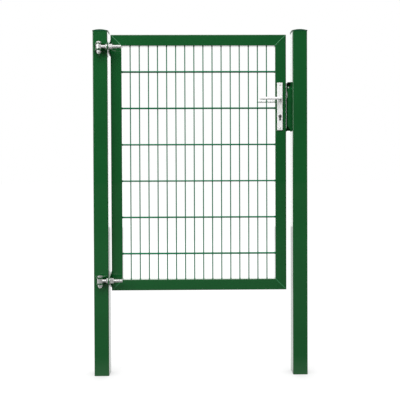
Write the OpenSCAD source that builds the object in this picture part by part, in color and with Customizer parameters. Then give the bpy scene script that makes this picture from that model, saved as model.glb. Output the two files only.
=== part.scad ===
// Single swing gate: two square posts, a mesh filled leaf on adjustable eye bolt hinges, and a lever lock.
// Millimetres. The origin is the centre of the hinge post's foot, +X runs to the latch post, -Y to the front, +Z up.

/* [Posts] */
// side of the square post tube
post_w = 80; // [60:1:120]
// wall of the post tube
post_wall = 3; // [2:0.5:6]
// outer corner radius of the post tube
post_r = 6; // [3:0.5:10]
// length of each post tube
post_len = 1865; // [1200:5:2600]
// free width between the posts
clear_w = 1000; // [700:5:1400]

/* [Post caps] */
// overhang of the cap rim past the post on each side
cap_over = 1.5; // [0.5:0.5:4]
// height of the rim at the cap corners
cap_rim = 3; // [2:0.5:8]
// rise of the dome above the rim corners
cap_rise = 12; // [5:0.5:25]
// depth of the plug that sits in the tube
cap_plug = 16; // [8:1:40]
// gap between plug and tube on each side
cap_clear = 0.2; // [0.1:0.1:0.5]

/* [Leaf] */
// height of the leaf
leaf_h = 1400; // [800:5:2000]
// height of the leaf's lower edge above the post foot
leaf_bottom = 455; // [100:5:700]
// gap between hinge post and leaf
hinge_gap = 11; // [11:0.5:20]
// gap between leaf and latch post
lock_gap = 29; // [26:0.5:45]
// width of the frame tube seen from the front
frame_face = 60; // [54:1:80]
// depth of the frame tube
frame_deep = 40; // [36:1:60]
// wall of the frame tube
frame_wall = 2; // [1.5:0.5:4]
// outer corner radius of the frame tube
frame_r = 4; // [2:0.5:6]

/* [Mesh] */
// spacing of the upright wires
mesh_px = 50; // [30:1:100]
// spacing of the cross wires
mesh_pz = 200; // [100:5:300]
// thickness of the upright wires
wire_v = 6; // [4:0.5:8]
// thickness of the cross wires
wire_h = 8; // [4:0.5:10]
// depth the wires are pressed into each other at a weld
weld_sink = 0.7; // [0.4:0.1:1.2]

/* [Hinges] */
// distance from the post's front face to the pin axis
pin_out = 35; // [34:1:60]
// distance of the upper eye bolt below the leaf's top
upper_drop = 82; // [50:1:200]
// distance of the lower eye bolt above the leaf's bottom
lower_rise = 69; // [50:1:200]
// diameter of the hinge pin
pin_d = 14; // [12:1:16]
// outside diameter of the eye
eye_d = 30; // [26:1:36]
// height of the eye
eye_h = 24; // [20:1:30]
// diameter of the eye bolt's shank
bolt_d = 16; // [12:1:18]
// length of the eye bolt from the pin axis
bolt_len = 120; // [90:1:160]
// radial gap of the pin in the eye
pin_clear = 0.3; // [0.2:0.1:0.5]
// gap between the eye and each lug
lug_clear = 0.4; // [0.3:0.1:1]
// width of the bracket on the post
bracket_w = 60; // [50:1:60]
// thickness of the bracket's back and lugs
bracket_t = 6; // [5:0.5:8]
// radius of the lug around the pin
lug_r = 17; // [14:1:20]
// thickness of the hinge plate on the leaf
plate_t = 6; // [4:0.5:6]
// height of the hinge plate at the stile
plate_h = 82; // [60:1:120]
// height of the hinge plate at its front edge
plate_nose_h = 38; // [32:1:50]
// reach of the hinge plate past the bolt axis
plate_nose = 19; // [16:1:30]
// distance of the hinge plate's root from the bolt axis towards the leaf's corner
plate_shift = 8; // [0:1:20]

/* [Lock] */
// height of the lever axis above the leaf's lower edge
lever_up = 1045; // [500:5:1100]
// distance from the leaf's edge to the lever axis
backset = 35; // [30:1:40]
// distance from the lever axis down to the cylinder
cyl_drop = 92; // [72:1:100]
// width of the lock plates
lockplate_w = 30; // [24:1:40]
// height of the lock plates
lockplate_h = 260; // [220:1:300]
// thickness of the lock plates
lockplate_t = 8; // [6:0.5:12]
// distance from the lever axis up to the plate's top
lockplate_up = 91; // [60:1:120]
// diameter of the lever bar
lever_d = 15; // [12:0.5:18]
// distance from the leaf's face to the lever bar's axis
lever_out = 47; // [40:1:60]
// reach of the lever from its axis
lever_len = 116; // [90:1:140]
// mean radius of the lever's bend
lever_bend = 15; // [12:1:20]
// side of the square spindle
spindle_w = 8; // [7:0.5:9]
// running gap of the lever in its plate
lever_clear = 0.3; // [0.2:0.1:0.5]
// length of the lock's face plate
face_h = 245; // [200:1:270]
// width of the lock's face plate
face_w = 24; // [20:1:28]
// thickness of the lock's face plate
face_t = 3; // [2:0.5:4]
// distance of the latch bolt's middle above the lever axis
latch_up = 28; // [20:1:40]
// height of the latch bolt
latch_h = 33; // [25:1:40]
// width of the latch bolt
latch_w = 12; // [10:0.5:14]
// reach of the latch bolt past the face plate
latch_out = 11; // [8:0.5:12]
// running gap around the latch bolt
latch_clear = 0.4; // [0.3:0.1:0.6]

/* [Keeper] */
// height of the keeper
keeper_h = 268; // [220:1:300]
// wall of the keeper
keeper_t = 3; // [2:0.5:4]
// gap between the lock's face plate and the keeper
keeper_gap = 5; // [5:0.5:8]
// distance of the keeper's front behind the leaf's front face
keeper_back = 2; // [0:0.5:6]
// gap between the leaf's back and the stop lip
stop_gap = 5; // [5:0.5:10]
// overlap of the stop lip behind the leaf
stop_lap = 14; // [6:1:30]
// height of the opening at the top of the keeper's front
keeper_notch = 22; // [10:1:40]

/* [Hidden] */
$fn = 48;
leaf_w = clear_w - hinge_gap - lock_gap;
leaf_x0 = post_w / 2 + hinge_gap;
leaf_x1 = leaf_x0 + leaf_w;
leaf_z0 = leaf_bottom;
leaf_z1 = leaf_bottom + leaf_h;
leaf_y0 = post_w / 2 - frame_deep;
leaf_y1 = post_w / 2;
leaf_ym = (leaf_y0 + leaf_y1) / 2;
latch_post_x = post_w + clear_w;
inner_r_min = 0.5;
cap_wall = 2.5;
cap_fn = 120;
inner_w = leaf_w - 2 * frame_face;
inner_h = leaf_h - 2 * frame_face;
wire_sides = 8;
wires_v = max(1, round(inner_w / mesh_px) - 1);
wires_h = max(1, round(inner_h / mesh_pz));
pin_y = -post_w / 2 - pin_out;
upper_z = leaf_z1 - upper_drop;
lower_z = leaf_z0 + lower_rise;
lug_in = eye_h / 2 + lug_clear;
pin_head_w = 1.6 * pin_d;
pin_head_h = 0.63 * pin_d;
pin_nut_w = 1.5 * pin_d;
pin_nut_h = 0.9 * pin_d;
pin_dome_r = 0.46 * pin_nut_w;
pin_tail = 4;
pin_end_gap = 1;
thread_clear = 0.1;
nut_w = 1.5 * bolt_d;
nut_h = 1.15 * bolt_d;
thin_nut_h = 0.5 * bolt_d;
nut_flat = 0.97;
bolt_ease = 2;
washer_d = 1.9 * bolt_d;
washer_t = 3;
plate_ease = 6;
plate_margin = 2;
over = 1;
plate_x0 = leaf_x0 - plate_t;
lever_x = leaf_x1 - backset;
lever_z = leaf_z0 + lever_up;
cyl_z = lever_z - cyl_drop;
cyl_r = 8.5;
cyl_stem_w = 10;
cyl_stem_h = 24.5;
cyl_past = 3;
cyl_clear = 0.5;
key_w = 2.4;
key_h = 8.5;
key_low = 6;
key_deep = 5;
lockplate_z1 = lever_z + lockplate_up;
lockplate_z0 = lockplate_z1 - lockplate_h;
lockplate_edge = 2.5;
spigot_d = lever_d + 3;
spigot_in = 5;
collar_d = lever_d + 6;
collar_t = 4;
spigot_clear = 2;
spindle_in = 12;
follower_d = 14;
case_deep = 50;
case_t = 16;
case_past = 32;
case_top = 10;
case_z0 = cyl_z - case_past;
case_z1 = lever_z + latch_up + latch_h / 2 + case_top;
face_z1 = case_z1 + case_past;
face_z0 = face_z1 - face_h;
latch_z = lever_z + latch_up;
latch_in = 24;
latch_travel = 12;
latch_nose = 2;
latch_heel = 1;
bolt_up = 32;
bolt_z = cyl_z + bolt_up;
bolt_h = 30;
keeper_z1 = lockplate_z1 + (keeper_h - lockplate_h) / 2;
keeper_z0 = keeper_z1 - keeper_h;
keeper_x1 = latch_post_x - post_w / 2;
keeper_x0 = leaf_x1 + face_t + keeper_gap;
keeper_y0 = leaf_y0 + keeper_back;
keeper_y1 = leaf_y1 + stop_gap + keeper_t;
keeper_cut_share = 0.85;
keeper_cut_slope = 1.6;
lip_clear = 5;
lip_x0 = max(leaf_x1 - stop_lap, lever_x + lockplate_w / 2 + lip_clear);

paint = [0.03, 0.22, 0.09];
cap_green = [0.05, 0.35, 0.17];
zinc = [0.72, 0.74, 0.75];
silver = [0.85, 0.86, 0.87];
steel = [0.60, 0.61, 0.62];
nickel = [0.55, 0.54, 0.52];

// rounded rectangle centred on the origin
module round_rect(w, d, r) {
    square([w - 2 * r, d], center = true);
    square([w, d - 2 * r], center = true);
    for (sx = [-1, 1]) for (sy = [-1, 1])
        translate([sx * (w / 2 - r), sy * (d / 2 - r)]) circle(r = r);
}

// section of a tube with rounded corners
module tube_section(w, d, wall, r) {
    difference() {
        round_rect(w, d, r);
        round_rect(w - 2 * wall, d - 2 * wall, max(r - wall, inner_r_min));
    }
}

// outline drawn in X and Z, made into a block between two depths
module slab_xz(points, y0, y1) {
    translate([0, y1, 0]) rotate([90, 0, 0]) linear_extrude(y1 - y0) polygon(points);
}

// outline drawn in Y and Z, made into a plate between two X values
module slab_yz(x0, x1) {
    translate([x0, 0, 0]) rotate([90, 0, 90]) linear_extrude(x1 - x0) children();
}

// bar with flat sides, standing on the origin
module wire(d, len) {
    half = 180 / wire_sides;
    rotate([0, 0, half]) cylinder(r = d / 2 / cos(half), h = len, $fn = wire_sides);
}

// profile of the lock cylinder seen along its length, grown by a gap
module cylinder_profile(gap) {
    circle(r = cyl_r + gap);
    translate([-cyl_stem_w / 2 - gap, -cyl_stem_h + cyl_stem_w / 2])
        square([cyl_stem_w + 2 * gap, cyl_stem_h - cyl_stem_w / 2]);
    translate([0, -cyl_stem_h + cyl_stem_w / 2]) circle(r = cyl_stem_w / 2 + gap);
}

// hexagon with its corners eased at both ends, standing on the origin
module eased_hex(w, h) {
    corner = w / cos(30) / 2;
    flat = nut_flat * w / 2;
    ease = (corner - flat) * tan(30);
    intersection() {
        cylinder(r = corner, h = h, $fn = 6);
        rotate_extrude() polygon([[0, 0], [flat, 0], [corner + over, ease + over * tan(30)],
            [corner + over, h - ease - over * tan(30)], [flat, h], [0, h]]);
    }
}

// round rod from the origin, chamfered at its far end
module eased_rod(d, len) {
    rotate_extrude() polygon([[0, 0], [d / 2, 0], [d / 2, len - bolt_ease], [d / 2 - bolt_ease, len], [0, len]]);
}

// the lock cylinder's shape through a range of depths
module cylinder_bar(gap, y0, y1) {
    translate([lever_x, y1, cyl_z]) rotate([90, 0, 0]) linear_extrude(y1 - y0) cylinder_profile(gap);
}

module post(x) {
    color(paint) translate([x, 0, 0]) linear_extrude(post_len)
        tube_section(post_w, post_w, post_wall, post_r);
}

module hinge_post() {
    post(0);
}

module latch_post() {
    post(latch_post_x);
}

// domed cap with a rim that rests on the tube's end and a hollow plug inside it
module post_cap(x) {
    rim_w = post_w + 2 * cap_over;
    half_diag = rim_w / sqrt(2);
    dome_r = (half_diag * half_diag + cap_rise * cap_rise) / (2 * cap_rise);
    plug_w = post_w - 2 * post_wall - 2 * cap_clear;
    plug_r = max(post_r - post_wall - cap_clear, inner_r_min);
    color(cap_green) translate([x, 0, post_len]) {
        intersection() {
            linear_extrude(cap_rim + cap_rise + over) round_rect(rim_w, rim_w, post_r + cap_over);
            translate([0, 0, cap_rim + cap_rise - dome_r]) sphere(r = dome_r, $fn = cap_fn);
        }
        translate([0, 0, -cap_plug]) linear_extrude(cap_plug)
            tube_section(plug_w, plug_w, cap_wall, plug_r);
    }
}

module hinge_post_cap() {
    post_cap(0);
}

module latch_post_cap() {
    post_cap(latch_post_x);
}

// plan of a hinge lug: wide at the back, rounded around the pin
module lug_plan() {
    back_y = -post_w / 2;
    px = bracket_w / 2;
    py = back_y - pin_y;
    reach = sqrt(px * px + py * py);
    turn = atan2(py, px) - acos(lug_r / reach);
    tx = lug_r * cos(turn);
    ty = pin_y + lug_r * sin(turn);
    difference() {
        union() {
            polygon([[-px, back_y], [-tx, ty], [tx, ty], [px, back_y]]);
            translate([0, pin_y]) circle(r = lug_r);
        }
        translate([0, pin_y]) circle(d = pin_d + 2 * thread_clear);
    }
}

// bracket on the post: a back strip and two lugs that carry the pin
module hinge_bracket(z) {
    tall = 2 * (lug_in + bracket_t);
    color(paint) translate([0, 0, z]) {
        translate([-bracket_w / 2, -post_w / 2 - bracket_t, -tall / 2])
            cube([bracket_w, bracket_t, tall]);
        for (low = [lug_in, -lug_in - bracket_t])
            translate([0, 0, low]) linear_extrude(bracket_t) lug_plan();
    }
}

module upper_hinge_bracket() {
    hinge_bracket(upper_z);
}

module lower_hinge_bracket() {
    hinge_bracket(lower_z);
}

// hexagon headed bolt that stands in the lugs
module hinge_pin(z) {
    top = lug_in + bracket_t;
    color(zinc) translate([0, pin_y, z]) {
        translate([0, 0, top]) eased_hex(pin_head_w, pin_head_h);
        translate([0, 0, -top - pin_nut_h - pin_tail])
            cylinder(d = pin_d, h = 2 * top + pin_nut_h + pin_tail + pin_head_h / 2);
    }
}

module upper_hinge_pin() {
    hinge_pin(upper_z);
}

module lower_hinge_pin() {
    hinge_pin(lower_z);
}

// domed cap nut under the lower lug
module pin_nut(z) {
    deep = pin_tail + pin_end_gap;
    color(zinc) translate([0, pin_y, z - lug_in - bracket_t - pin_nut_h]) difference() {
        union() {
            eased_hex(pin_nut_w, pin_nut_h);
            sphere(r = pin_dome_r);
        }
        translate([0, 0, -deep]) cylinder(d = pin_d + 2 * thread_clear, h = deep + pin_nut_h + over);
    }
}

module upper_pin_nut() {
    pin_nut(upper_z);
}

module lower_pin_nut() {
    pin_nut(lower_z);
}

// keeper on the latch post: a channel open to the leaf, with a long rear lip as the stop
module keeper() {
    tall = keeper_z1 - keeper_z0;
    cut = keeper_cut_share * (keeper_x1 - keeper_x0);
    cut_z = keeper_z0 + keeper_cut_slope * cut;
    color(paint) difference() {
        union() {
            translate([0, 0, keeper_z0]) linear_extrude(tall) polygon([
                [keeper_x1, keeper_y0], [keeper_x1, keeper_y1], [lip_x0, keeper_y1],
                [lip_x0, keeper_y1 - keeper_t], [keeper_x1 - keeper_t, keeper_y1 - keeper_t],
                [keeper_x1 - keeper_t, keeper_y0 + keeper_t], [keeper_x0, keeper_y0 + keeper_t],
                [keeper_x0, keeper_y0]]);
            for (z = [keeper_z0, keeper_z1 - keeper_t])
                translate([keeper_x0, keeper_y0, z])
                    cube([keeper_x1 - keeper_x0, keeper_y1 - keeper_y0, keeper_t]);
        }
        slab_xz([[keeper_x0 - over, cut_z], [keeper_x0, cut_z], [keeper_x0 + cut, keeper_z0 + keeper_t],
            [keeper_x0 - over, keeper_z0 + keeper_t]], keeper_y0 - over, keeper_y0 + keeper_t);
        translate([keeper_x0 - over, keeper_y0 - over, keeper_z1 - keeper_notch])
            cube([keeper_x1 - keeper_t - keeper_x0 + over, keeper_t + over, keeper_notch - keeper_t]);
    }
}

// frame tube along Z, cut to a mitre at both ends
module stile(x0, mirrored) {
    f = frame_face;
    xa = mirrored ? x0 + f : x0;
    xb = mirrored ? x0 : x0 + f;
    color(paint) intersection() {
        translate([x0 + f / 2, leaf_ym, leaf_z0]) linear_extrude(leaf_h)
            tube_section(f, frame_deep, frame_wall, frame_r);
        slab_xz([[xa, leaf_z0], [xb, leaf_z0 + f], [xb, leaf_z1 - f], [xa, leaf_z1]],
            leaf_y0 - over, leaf_y1 + over);
    }
}

module hinge_stile() {
    stile(leaf_x0, false);
}

module lock_stile() {
    color(paint) difference() {
        stile(leaf_x1 - frame_face, true);
        translate([lever_x, leaf_y1 + over, lever_z]) rotate([90, 0, 0])
            cylinder(d = spigot_d + 2 * spigot_clear, h = frame_deep + 2 * over);
        cylinder_bar(cyl_clear, leaf_y0 - over, leaf_y1 + over);
        translate([leaf_x1 - frame_wall - over, leaf_ym - case_t / 2, case_z0])
            cube([frame_wall + 2 * over, case_t, case_z1 - case_z0]);
    }
}

// frame tube along X, cut to a mitre at both ends
module rail(z0, flipped) {
    f = frame_face;
    za = flipped ? z0 + f : z0;
    zb = flipped ? z0 : z0 + f;
    color(paint) intersection() {
        translate([leaf_x0, leaf_ym, z0 + f / 2]) rotate([90, 0, 90]) linear_extrude(leaf_w)
            tube_section(frame_deep, f, frame_wall, frame_r);
        slab_xz([[leaf_x0, za], [leaf_x1, za], [leaf_x1 - f, zb], [leaf_x0 + f, zb]],
            leaf_y0 - over, leaf_y1 + over);
    }
}

module top_rail() {
    rail(leaf_z1 - frame_face, true);
}

module bottom_rail() {
    rail(leaf_z0, false);
}

// welded double wire mesh: upright wires between pairs of cross wires
module mesh_panel() {
    x_mid = (leaf_x0 + leaf_x1) / 2;
    z_mid = (leaf_z0 + leaf_z1) / 2;
    off = (wire_v + wire_h) / 2 - weld_sink;
    color(paint) union() {
        for (i = [0 : wires_v - 1])
            translate([x_mid + (i - (wires_v - 1) / 2) * mesh_px, leaf_ym, leaf_z0 + frame_face])
                wire(wire_v, inner_h);
        for (j = [0 : wires_h - 1]) for (s = [-1, 1])
            translate([leaf_x0 + frame_face, leaf_ym + s * off, z_mid + (j - (wires_h - 1) / 2) * mesh_pz])
                rotate([0, 90, 0]) wire(wire_h, inner_w);
    }
}

// plate welded to the stile's side that carries the eye bolt in front of the post
module hinge_plate(z, shift) {
    yf = pin_y - plate_nose;
    ys = leaf_y0 + frame_r;
    yb = leaf_y1 - frame_r;
    top = shift + plate_h / 2;
    bottom = shift - plate_h / 2;
    n = plate_nose_h / 2;
    c = plate_ease;
    neck = pin_y + washer_d / 2 + plate_margin;
    color(paint) translate([0, 0, z]) slab_yz(plate_x0, leaf_x0) difference() {
        polygon([[yf, -n + c], [yf + c, -n], [neck, -n], [ys, bottom], [yb, bottom],
            [yb, top], [ys, top], [neck, n], [yf + c, n], [yf, n - c]]);
        translate([pin_y, 0]) circle(d = bolt_d + 2 * thread_clear);
    }
}

module upper_hinge_plate() {
    hinge_plate(upper_z, plate_shift);
}

module lower_hinge_plate() {
    hinge_plate(lower_z, -plate_shift);
}

// eye bolt: an eye around the pin and a long shank through the hinge plate
module eye_bolt(z) {
    color(zinc) translate([0, pin_y, z]) difference() {
        union() {
            translate([0, 0, -eye_h / 2]) cylinder(d = eye_d, h = eye_h);
            rotate([0, 90, 0]) eased_rod(bolt_d, bolt_len);
        }
        translate([0, 0, -eye_h]) cylinder(d = pin_d + 2 * pin_clear, h = 2 * eye_h);
    }
}

module upper_eye_bolt() {
    eye_bolt(upper_z);
}

module lower_eye_bolt() {
    eye_bolt(lower_z);
}

// hexagon nut along X, starting at an X value
module shank_nut(x0, z, h) {
    translate([x0, pin_y, z]) rotate([0, 90, 0]) difference() {
        eased_hex(nut_w, h);
        translate([0, 0, -over]) cylinder(d = bolt_d + 2 * thread_clear, h = h + 2 * over);
    }
}

// thin nut behind the hinge plate and long nut on its other side, each on a washer
module adjusting_nuts(z) {
    color(zinc) {
        shank_nut(plate_x0 - washer_t - thin_nut_h, z, thin_nut_h);
        shank_nut(leaf_x0 + washer_t, z, nut_h);
    }
}

module upper_adjusting_nuts() {
    adjusting_nuts(upper_z);
}

module lower_adjusting_nuts() {
    adjusting_nuts(lower_z);
}

// flat washer on each side of the hinge plate
module washers(z) {
    color(zinc) for (x = [plate_x0 - washer_t, leaf_x0])
        translate([x, pin_y, z]) rotate([0, 90, 0]) difference() {
            cylinder(d = washer_d, h = washer_t);
            translate([0, 0, -over]) cylinder(d = bolt_d + 2 * thread_clear, h = washer_t + 2 * over);
        }
}

module upper_washer() {
    washers(upper_z);
}

module lower_washer() {
    washers(lower_z);
}

// lock case inside the stile, bored for the spindle, the cylinder and the latch bolt
module lock_case() {
    g = latch_clear;
    color(steel) difference() {
        translate([leaf_x1 - case_deep, leaf_ym - case_t / 2, case_z0])
            cube([case_deep, case_t, case_z1 - case_z0]);
        translate([lever_x, leaf_y1, lever_z]) rotate([90, 0, 0]) cylinder(d = follower_d, h = frame_deep);
        cylinder_bar(0, leaf_y0, leaf_y1);
        translate([leaf_x1 - latch_in - latch_travel - over, leaf_ym - latch_w / 2 - g, latch_z - latch_h / 2 - g])
            cube([latch_in + latch_travel + 2 * over, latch_w + 2 * g, latch_h + 2 * g]);
    }
}

// face plate on the stile's side with the latch and bolt openings
module lock_faceplate() {
    g = latch_clear;
    color(steel) difference() {
        translate([leaf_x1, leaf_ym - face_w / 2, face_z0]) cube([face_t, face_w, face_h]);
        translate([leaf_x1 - over, leaf_ym - latch_w / 2 - g, latch_z - latch_h / 2 - g])
            cube([face_t + 2 * over, latch_w + 2 * g, latch_h + 2 * g]);
        translate([leaf_x1 - over, leaf_ym - latch_w / 2, bolt_z - bolt_h / 2])
            cube([face_t + 2 * over, latch_w, bolt_h]);
    }
}

// withdrawn dead bolt, level with the face plate
module dead_bolt() {
    color(steel) translate([leaf_x1, leaf_ym - latch_w / 2, bolt_z - bolt_h / 2])
        cube([face_t, latch_w, bolt_h]);
}

// long plate with bevelled edges, bored for the lever and the cylinder, on the front face
module lock_plate() {
    e = lockplate_edge;
    w = lockplate_w / 2;
    t = lockplate_t;
    difference() {
        intersection() {
            translate([lever_x, leaf_y0, lockplate_z0]) linear_extrude(lockplate_h)
                polygon([[-w, 0], [-w, -t + e], [-w + e, -t], [w - e, -t], [w, -t + e], [w, 0]]);
            translate([0, leaf_y0, 0]) slab_yz(lever_x - lockplate_w, lever_x + lockplate_w)
                polygon([[0, lockplate_z0], [-t + e, lockplate_z0], [-t, lockplate_z0 + e],
                    [-t, lockplate_z1 - e], [-t + e, lockplate_z1], [0, lockplate_z1]]);
        }
        translate([lever_x, leaf_y0 + over, lever_z]) rotate([90, 0, 0])
            cylinder(d = spigot_d + 2 * lever_clear, h = t + 2 * over);
        cylinder_bar(0, leaf_y0 - t - over, leaf_y0 + over);
    }
}

// copy a front piece to the back of the leaf
module to_rear() {
    translate([0, 2 * leaf_ym, 0]) mirror([0, 1, 0]) children();
}

module front_lock_plate() {
    color(silver) lock_plate();
}

module rear_lock_plate() {
    color(silver) to_rear() lock_plate();
}

// profile cylinder through leaf and plates, with a keyway at each end
module lock_cylinder() {
    y0 = leaf_y0 - lockplate_t - cyl_past;
    y1 = leaf_y1 + lockplate_t + cyl_past;
    color(nickel) difference() {
        cylinder_bar(0, y0, y1);
        for (y = [y0 - over, y1 - key_deep])
            translate([lever_x - key_w / 2, y, cyl_z - key_low]) cube([key_w, key_deep + over, key_h]);
    }
}

// bent round bar with a collar, on the front face
module lever() {
    face_y = leaf_y0 - lockplate_t;
    bar_y = leaf_y0 - lever_out;
    difference() {
        union() {
            translate([lever_x, face_y + spigot_in, lever_z]) rotate([90, 0, 0])
                cylinder(d = spigot_d, h = spigot_in + lever_clear + collar_t / 2);
            translate([lever_x, face_y - lever_clear, lever_z]) rotate([90, 0, 0])
                cylinder(d = collar_d, h = collar_t);
            translate([lever_x, face_y - lever_clear, lever_z]) rotate([90, 0, 0])
                cylinder(d = lever_d, h = face_y - lever_clear - bar_y - lever_bend);
            translate([lever_x - lever_bend, bar_y + lever_bend, lever_z]) rotate([0, 0, -90])
                rotate_extrude(angle = 90) translate([lever_bend, 0]) circle(d = lever_d);
            translate([lever_x - lever_bend, bar_y, lever_z]) rotate([0, -90, 0])
                cylinder(d = lever_d, h = lever_len - lever_bend - lever_d / 2);
            translate([lever_x - lever_len + lever_d / 2, bar_y, lever_z]) sphere(d = lever_d);
        }
        translate([lever_x - spindle_w / 2, face_y - spindle_in, lever_z - spindle_w / 2])
            cube([spindle_w, spindle_in + spigot_in + over, spindle_w]);
    }
}

module front_lever() {
    color(silver) lever();
}

module rear_lever() {
    color(silver) to_rear() lever();
}

// square bar that joins the two levers through the lock
module spindle() {
    y0 = leaf_y0 - lockplate_t - spindle_in;
    y1 = leaf_y1 + lockplate_t + spindle_in;
    color(steel) translate([lever_x - spindle_w / 2, y0, lever_z - spindle_w / 2])
        cube([spindle_w, y1 - y0, spindle_w]);
}

// latch bolt with a slanted rear side for closing
module latch_bolt() {
    x1 = leaf_x1 + face_t + latch_out;
    ya = leaf_ym - latch_w / 2;
    yb = leaf_ym + latch_w / 2;
    color(zinc) translate([0, 0, latch_z - latch_h / 2]) linear_extrude(latch_h)
        polygon([[leaf_x1 - latch_in, ya], [x1, ya], [x1, ya + latch_nose], [x1 - latch_out + latch_heel, yb],
            [leaf_x1 - latch_in, yb]]);
}

hinge_post();
latch_post();
hinge_post_cap();
latch_post_cap();
upper_hinge_bracket();
lower_hinge_bracket();
upper_hinge_pin();
lower_hinge_pin();
upper_pin_nut();
lower_pin_nut();
keeper();
hinge_stile();
lock_stile();
top_rail();
bottom_rail();
mesh_panel();
upper_hinge_plate();
lower_hinge_plate();
upper_eye_bolt();
lower_eye_bolt();
upper_adjusting_nuts();
lower_adjusting_nuts();
upper_washer();
lower_washer();
lock_case();
lock_faceplate();
dead_bolt();
front_lock_plate();
rear_lock_plate();
lock_cylinder();
front_lever();
rear_lever();
spindle();
latch_bolt();
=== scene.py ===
import math

import bmesh
import bpy
from mathutils import Euler, Matrix, Vector


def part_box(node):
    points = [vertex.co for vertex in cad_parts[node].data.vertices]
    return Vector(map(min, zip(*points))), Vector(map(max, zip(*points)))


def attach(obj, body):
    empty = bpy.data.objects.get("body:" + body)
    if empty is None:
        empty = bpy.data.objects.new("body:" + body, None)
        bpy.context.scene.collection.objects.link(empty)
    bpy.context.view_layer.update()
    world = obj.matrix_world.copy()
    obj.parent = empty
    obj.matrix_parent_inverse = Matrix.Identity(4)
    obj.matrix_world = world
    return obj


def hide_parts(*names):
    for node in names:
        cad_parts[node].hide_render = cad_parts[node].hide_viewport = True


bl_info = {
    "name": "Swing gate finish",
    "version": (1, 0, 0),
    "blender": (4, 5, 0),
    "location": "View3D > Sidebar > Gate",
    "description": "Coats a mesh filled swing gate and adds its welds, threads and screws",
    "category": "Object",
}

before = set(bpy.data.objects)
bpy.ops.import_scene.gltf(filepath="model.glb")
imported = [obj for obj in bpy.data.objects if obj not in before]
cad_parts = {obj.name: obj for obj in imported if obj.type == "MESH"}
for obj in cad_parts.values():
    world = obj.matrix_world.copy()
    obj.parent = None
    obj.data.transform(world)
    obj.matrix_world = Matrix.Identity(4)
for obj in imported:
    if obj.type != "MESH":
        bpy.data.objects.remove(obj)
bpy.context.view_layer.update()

IMAGE_PX = 400
SENSOR_MM = 36.0

# Main directions of the frame
UP = Vector((0, 0, 1))
RIGHT = Vector((1, 0, 0))
FRONT = Vector((0, -1, 0))
DOWN = Vector((0, 0, -1))

# Places and sizes of the lamps
LAMP_TARGET = Vector((0.54, 0.0, 1.0))
KEY_PLACE = Vector((-0.2, -4.2, 5.2))
KEY_SIZE = 4.0
FILL_PLACE = Vector((-2.4, -2.6, 2.2))
FILL_SIZE = 1.6
REAR_PLACE = Vector((-0.3, 4.2, 5.2))
REAR_SIZE = 3.0
BACK_PLACE = Vector((0.54, 5.0, 3.0))
BACK_SIZE = 6.0

# Floor and surroundings; a fade is the range of depth over which reflections turn from grey to white
FLOOR_RADIUS = 60.0
FLOOR_SIDES = 64
FLOOR_DROP = 0.0005
FLOOR_GLOW = 0.9
FLOOR_TONE = 0.14
FLOOR_FADE = (-0.35, 0.05)
FRONT_WORLD = 0.12
WORLD_FADE = (-0.92, -0.60)

# Reach of the floor's shadow painted into its glow, and the least share of the glow that it leaves
SHADOW_REACH = 0.5
SHADOW_LEAST = 0.5

# The leaf's edges, taken from the frame
STILE_LOW, STILE_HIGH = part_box("hinge_stile")
LEAF_LEFT = STILE_LOW.x
LEAF_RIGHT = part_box("lock_stile")[1].x
LEAF_FRONT = STILE_LOW.y
LEAF_BACK = STILE_HIGH.y
LEAF_BOTTOM = STILE_LOW.z
LEAF_TOP = STILE_HIGH.z
FRAME_FACE = STILE_HIGH.x - STILE_LOW.x

# Angles under which neighbouring faces are shaded as one
EDGE_ANGLE = math.radians(40)
WELD_ANGLE = math.radians(80)

# Least part of a normal along an axis that makes a face an end face
END_FACE = 0.9

# Ripples of a weld, and the voxels that fuse them as a share of their radius
RIPPLE_SEGMENTS = 12
RIPPLE_RINGS = 8
VOXEL_SHARE = 0.3

# Sides of a thread's ridge, and steps in one turn of it
RIDGE_SIDES = 3
TURN_STEPS = 20

# Insets that crown a disc, each as a share of its radius and a share of its crown
DISC_SIDES = 28
DISC_INSETS = ((0.3, 0.7), (0.35, 0.3))

# Screws, as shares of their heads
SCREW_RISE = 0.12
RECESS_SIZE = (0.62, 0.14, 0.3)
RECESS_HEIGHT = 0.27
GRUB_SIDES = 20
GRUB_RISE = 0.1
GRUB_CROWN = 0.06
SOCKET_RADIUS = 0.3
SOCKET_DEPTH = 0.2
SOCKET_HEIGHT = 0.15

# Rise of a lock plug as a share of its diameter
PLUG_RISE = 0.05

# Spot welds of the mesh: subdivisions of a ball, and how far it is smoothed
SPOT_LEVELS = 2
SPOT_SOFTNESS = 0.4

# Spans of a mask that are stretched to a wanted range
NOISE_SPAN = (0.25, 0.75)
DRIFT_SPAN = (0.3, 0.7)
UPWARD_SPAN = (0.35, 1.0)

# Bumps of the coats and of the metals' patterns
PEEL_STRENGTH = 0.12
PEEL_DEPTH = 0.0001
PATTERN_STRENGTH = 0.15

# Nodes of the frame by finish
PAINTED = ("hinge_post", "latch_post", "upper_hinge_bracket", "lower_hinge_bracket", "keeper",
           "hinge_stile", "lock_stile", "top_rail", "bottom_rail",
           "upper_hinge_plate", "lower_hinge_plate")
WIRED = ("mesh_panel",)
CAPPED = ("hinge_post_cap", "latch_post_cap")
GALVANISED = ("upper_hinge_pin", "lower_hinge_pin", "upper_pin_nut", "lower_pin_nut",
              "upper_eye_bolt", "lower_eye_bolt", "upper_adjusting_nuts", "lower_adjusting_nuts",
              "upper_washer", "lower_washer", "latch_bolt")
SATIN = ("front_lock_plate", "rear_lock_plate", "front_lever", "rear_lever")
PLAIN_STEEL = ("lock_case", "lock_faceplate", "dead_bolt", "spindle")
NICKELLED = ("lock_cylinder",)

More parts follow.
